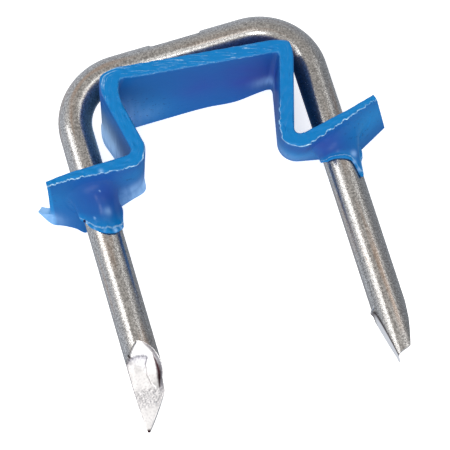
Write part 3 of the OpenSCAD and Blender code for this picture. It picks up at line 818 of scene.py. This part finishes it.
def moulded_plastic():
    """Flexible blue polyethylene strip, sheared to width and hot folded: a waxy skin with a thin gloss, violet
    painted shade and lighter blue painted light, streaked white where it was bent hardest, painted highlights
    and sheen, a few pits with painted shade in them, cyan sheared edges partly as painted light, with
    scratches along them, painted glints on the scratches and along the thread of burr, and painted shade in
    the torn hole."""
    material, tree = new_material("moulded_blue_polyethylene")
    place = add(tree, "TexCoord", output="Object")
    flat, burr_mm = (add(tree, "Attribute", output="Vector", attribute_name=name)
                     for name in ("strip_mm", "burr_mm"))
    cut, drawn, lit, whitening_and_highlight, hole = (add(tree, "Attribute", output="Fac", attribute_name=name)
                                       for name in ("cut_edge", "drawn", "light", "whitening_and_highlight", "hole"))
    along = add(tree, "SeparateXYZ", {"Vector": flat}, output="X")
    from_burr, thread_share, scratch_share = add(tree, "SeparateXYZ", {"Vector": burr_mm}).node.outputs

    # Clouds in the violet painted shade, and streaks in what is whitened and in the painted highlights
    cloud = add(tree, "TexNoise", {"Vector": place, "Scale": 1 / (2.5 * MM), "Detail": 3.0})
    patchy = add(tree, "MapRange", {"Value": cloud, "From Min": 0.3, "From Max": 0.7, "To Min": 0.5})
    violet_shade = add(tree, "Math", {0: drawn, 1: patchy}, operation="MULTIPLY")
    streak_way = add(tree, "Mapping", {"Vector": flat, "Scale": (1 / 0.3, 1, 1 / 2.5)})
    streaks = add(tree, "TexNoise", {"Vector": streak_way, "Scale": 1.0, "Detail": 3.0})
    streaked = add(tree, "MapRange", {"Value": streaks, "From Min": 0.3, "From Max": 0.7,
                                      "To Min": 0.6, "To Max": 1.1})
    white = add(tree, "Math", {0: whitening_and_highlight, 1: streaked}, operation="MULTIPLY")

    # Painted highlights: a thread along the burr, which sways along the strip, and glints on scratches in the
    # cut edge, both broken up
    ripple = add(tree, "TexNoise", {"W": along, "Scale": 1 / 0.45, "Detail": 3.0}, noise_dimensions="1D")
    sway = add(tree, "Math", {0: ripple, 1: -0.3, 2: 0.15}, operation="MULTIPLY_ADD")
    off_burr = add(tree, "Math", {0: from_burr, 1: sway}, operation="ADD")
    away = add(tree, "Math", {0: off_burr}, operation="ABSOLUTE")
    thread = add(tree, "MapRange", {"Value": away, "From Min": 0.02, "From Max": 0.08,
                                    "To Min": 1.0, "To Max": 0.0})
    thread = add(tree, "Math", {0: thread, 1: thread_share}, operation="MULTIPLY")
    slanted = add(tree, "Mapping", {"Vector": flat, "Rotation": (0, 0, 0.2)})
    scratch_way = add(tree, "Mapping", {"Vector": slanted, "Scale": (1 / 1.5, 1 / 0.12, 1 / 0.12)})
    scratches = add(tree, "TexNoise", {"Vector": scratch_way, "Scale": 1.0, "Detail": 3.0, "Distortion": 1.3})
    scratched = add(tree, "MapRange", {"Value": scratches, "From Min": 0.58, "From Max": 0.68, "To Max": 0.7})
    for share in (cut, scratch_share):
        scratched = add(tree, "Math", {0: scratched, 1: share}, operation="MULTIPLY")
    stretch = add(tree, "TexNoise", {"W": along, "Scale": 1 / 1.6, "Detail": 3.0}, noise_dimensions="1D")
    showing = add(tree, "MapRange", {"Value": stretch, "From Min": 0.4, "From Max": 0.6, "To Min": 0.4})
    specks = add(tree, "TexNoise", {"Vector": flat, "Scale": 1 / 0.14})
    broken = add(tree, "MapRange", {"Value": specks, "From Min": 0.38, "From Max": 0.6, "To Min": 0.3})
    glints = add(tree, "Math", {0: thread, 1: scratched}, operation="MAXIMUM")
    for share in (showing, broken):
        glints = add(tree, "Math", {0: glints, 1: share}, operation="MULTIPLY")

    # Painted shade in the pits of the lighter skin and in the torn hole
    pit_noise = add(tree, "TexNoise", {"Vector": place, "Scale": 1 / (0.22 * MM), "Detail": 1.0})
    pit_share = add(tree, "MapRange", {"Value": pit_noise, "From Min": 0.66, "From Max": 0.72, "To Max": 0.7})
    pits = add(tree, "Math", {0: pit_share, 1: lit}, operation="MULTIPLY")
    hole_shade = add(tree, "MapRange", {"Value": hole, "From Min": 0.35, "From Max": 0.6})
    dark = add(tree, "Math", {0: pits, 1: hole_shade}, operation="MAXIMUM")

    # Colours over the plain blue: violet painted shade, light blue painted light, cyan edges partly painted
    # light, white streaks of bending with painted highlights, painted glints, and painted shade in pits and the
    # hole
    tint = colour("#125a9e")
    for share, code in ((violet_shade, "#2f4099"), (lit, "#1574b4"), (cut, "#0a78bc"),
                        (white, "#9dcaf7"), (glints, "#c6e9f9"), (dark, "#0a1445")):
        tint = add(tree, "Mix", {"Factor": share, "A": tint, "B": colour(code)}, data_type="RGBA")

    # Relief of the wax, the pits and the scratches
    wax = add(tree, "TexNoise", {"Vector": place, "Scale": 1 / (0.35 * MM)})
    skin_relief = add(tree, "Math", {0: pits, 1: -2.0, 2: wax}, operation="MULTIPLY_ADD")
    scored = add(tree, "Math", {0: scratches, 1: cut}, operation="MULTIPLY")
    relief = add(tree, "Math", {0: scored, 1: 2.5, 2: skin_relief}, operation="MULTIPLY_ADD")
    bump = add(tree, "Bump", {"Height": relief, "Strength": 0.25, "Distance": 0.04 * MM})
    shader = add(tree, "BsdfPrincipled", {
        "Base Color": tint, "Roughness": 0.4, "Specular IOR Level": 0.0, "Normal": bump,
        "Coat Weight": 0.3, "Coat Roughness": 0.28, "Coat Normal": bump})
    add(tree, "OutputMaterial", {"Surface": shader})
    return material


def white_paper():
    """Plain matt white paper on a light table, which keeps the shadows faint."""
    material, tree = new_material("matt_white_paper")
    shader = add(tree, "BsdfPrincipled", {
        "Base Color": colour("#f7f7f7"), "Roughness": 0.9, "Specular IOR Level": 0.1,
        "Emission Color": colour("#ffffff"), "Emission Strength": 0.6})
    add(tree, "OutputMaterial", {"Surface": shader})
    return material


# Stage


def white_floor():
    """A flat sheet under the strip's lower edge, far larger than the view, which leaves no mirror image in
    the gloss."""
    reach = 1.5
    corners = [(-reach, -reach, 0), (reach, -reach, 0), (reach, reach, 0), (-reach, reach, 0)]
    mesh = bpy.data.meshes.new("paper_floor")
    mesh.from_pydata(corners, [], [(0, 1, 2, 3)])
    mesh.materials.append(white_paper())
    floor = bpy.data.objects.new("paper_floor", mesh)
    bpy.context.scene.collection.objects.link(floor)
    floor.visible_glossy = False


def softbox(name, heading, distance, size, power):
    """A rectangular white light that looks at the object from heading; size is its width and its height in
    metres."""
    light = bpy.data.lights.new(name, "AREA")
    light.shape = "RECTANGLE"
    light.size, light.size_y = size
    light.energy = power
    lamp = bpy.data.objects.new(name, light)
    back = Vector(heading).normalized()
    lamp.location = back * distance
    lamp.rotation_euler = back.to_track_quat("Z", "Y").to_euler()
    lamp.visible_camera = False
    bpy.context.scene.collection.objects.link(lamp)


def studio():
    """Soft light from all round, brightest on the left and behind, cooler near the floor, with bright boxes
    where the wire shows its streaks and a small lamp beside the camera."""
    world = bpy.data.worlds.new("studio")
    bpy.context.scene.world = world
    world.use_nodes = True
    tree = world.node_tree
    tree.nodes.clear()
    heading = add(tree, "TexCoord", output="Generated")
    height = add(tree, "SeparateXYZ", {"Vector": heading}, output="Z")
    towards = add(tree, "VectorMath", {0: heading, 1: (-0.75, 0.55, 0)}, operation="DOT_PRODUCT")
    strength = add(tree, "MapRange", {"Value": towards, "From Min": -0.7, "To Min": 0.5, "To Max": 1.2})
    under = add(tree, "MapRange", {"Value": height, "From Min": -0.95, "From Max": -0.6, "To Min": 0.45})
    over = add(tree, "MapRange", {"Value": height, "To Min": 1.0, "To Max": 0.78})
    for share in (under, over):
        strength = add(tree, "Math", {0: strength, 1: share}, operation="MULTIPLY")
    warm = add(tree, "MapRange", {"Value": height, "From Min": 0.1, "From Max": 0.8})
    tint = add(tree, "Mix", {"Factor": warm, "A": colour("#e4eaf4"), "B": colour("#fff9f3")}, data_type="RGBA")
    sky = add(tree, "Background", {"Color": tint, "Strength": strength})
    add(tree, "OutputWorld", {"Surface": sky})
    softbox("left_box", (-0.6, 0.33, 0.73), 0.3, (0.028, 0.2), 0.11)
    softbox("top_box", (0.42, 0.06, 0.9), 0.32, (0.07, 0.28), 0.15)
    softbox("right_box", (0.66, 0.34, 0.67), 0.32, (0.012, 0.14), 0.015)
    softbox("point_box", (0.58, 0.06, 0.81), 0.3, (0.1, 0.08), 0.007)
    softbox("front_box", (-0.2, -0.9, 0.45), 0.35, (0.3, 0.14), 0.45)
    softbox("camera_lamp", (-0.1, -0.3, 0.95), 0.3, (0.05, 0.05), 0.14)


def photo_camera():
    """Camera fitted to the photograph: turned and raised about the staple, rolled, and 180 mm away."""
    turn, height, roll = (math.radians(angle) for angle in (-6.9, 70, 9.85))
    distance, focal_px, image_px = 180, 2678, 450
    target = Vector(np.array([-0.454, -12.95, 0]) + CROWN)
    back = Vector((math.sin(turn) * math.cos(height), -math.cos(turn) * math.cos(height), math.sin(height)))
    level = Vector((math.cos(turn), math.sin(turn), 0))
    rise = back.cross(level)
    right = level * math.cos(roll) - rise * math.sin(roll)
    up = level * math.sin(roll) + rise * math.cos(roll)
    camera = bpy.data.objects.new("photo_camera", bpy.data.cameras.new("photo_camera"))
    camera.data.sensor_width = 36
    camera.data.lens = focal_px / image_px * camera.data.sensor_width
    camera.data.clip_start, camera.data.clip_end = 0.01, 10
    axes = Matrix((right, up, back)).transposed().to_4x4()
    camera.matrix_world = Matrix.Translation((target + back * distance) * MM) @ axes
    bpy.context.scene.collection.objects.link(camera)
    bpy.context.scene.camera = camera


staple = wire_staple([drawn_steel(), sheared_steel()])
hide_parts("wire_staple")
saddle = insulating_saddle(moulded_plastic())
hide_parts("insulating_saddle")
white_floor()
studio()
photo_camera()
bpy.context.scene.view_settings.view_transform = "Standard"
